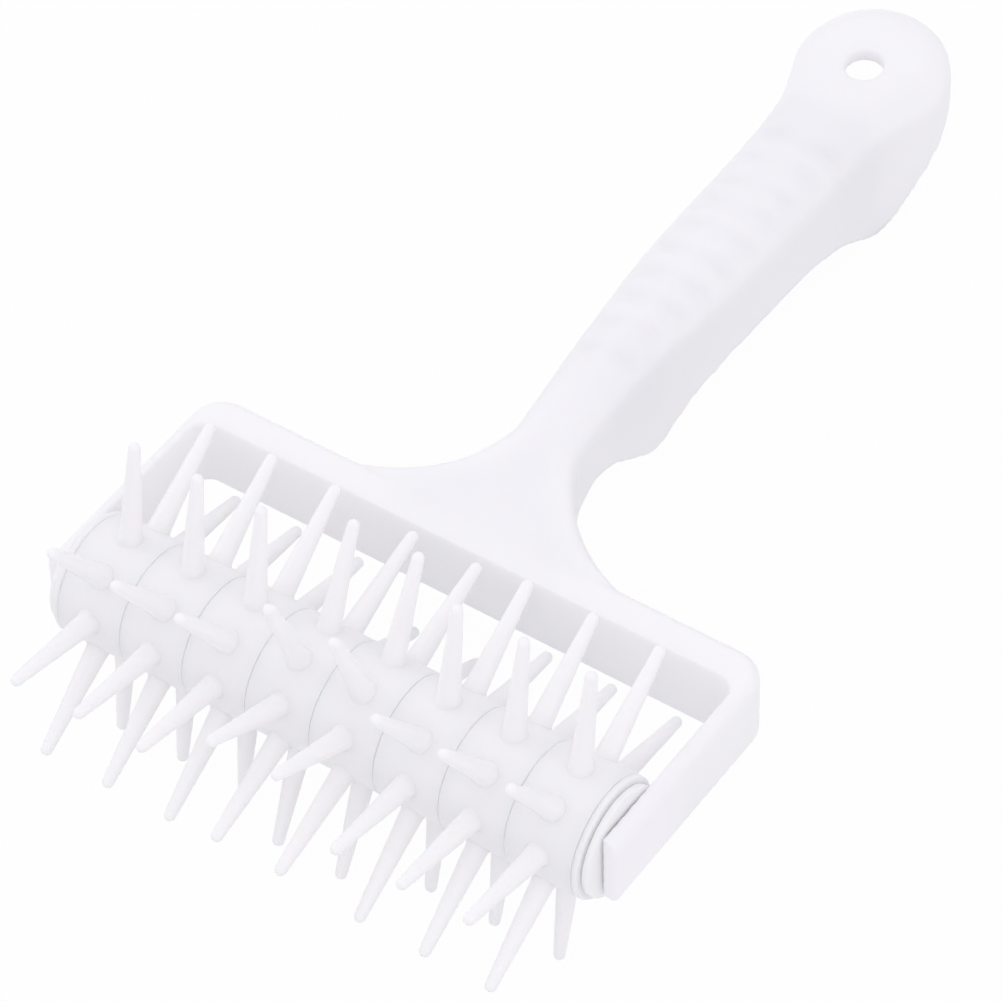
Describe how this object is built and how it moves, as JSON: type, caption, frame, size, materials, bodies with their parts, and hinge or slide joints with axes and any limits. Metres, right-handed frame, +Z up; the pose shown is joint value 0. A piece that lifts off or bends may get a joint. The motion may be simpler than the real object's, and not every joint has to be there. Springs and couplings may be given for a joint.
{
  "type": "dough docker",
  "caption": "Hand-held dough docker: a moulded yoke with a grip and hanging hole, carrying a freely turning roller of tapered pins.",
  "frame": {"origin": "centre of the bounding box in plan, on the surface that the docker lies on", "axes": "+X along the roller, to the right of someone holding the handle; +Y from the roller to the handle's end; +Z up"},
  "size_m": [0.1108, 0.201, 0.0592],
  "materials": {
    "white_moulding": "satin white polypropylene",
    "white_roller": "satin white polypropylene"
  },
  "bodies": {
    "frame": {"yoke_handle": "white_moulding"},
    "roller": {"roller_shaft": "white_roller", "end_cap_left": "white_roller", "end_cap_right": "white_roller", "pin_ring_1": "white_roller", "pin_ring_2": "white_roller", "pin_ring_3": "white_roller", "pin_ring_4": "white_roller", "pin_ring_5": "white_roller", "pin_ring_6": "white_roller", "pin_ring_7": "white_roller", "pin_ring_8": "white_roller"}
  },
  "joints": [
    {"name": "roller_spin", "type": "hinge", "parent": "frame", "child": "roller", "pos_m": [0, -0.07084, 0.02962], "axis": [1, 0, 0], "continuous": true}
  ]
}
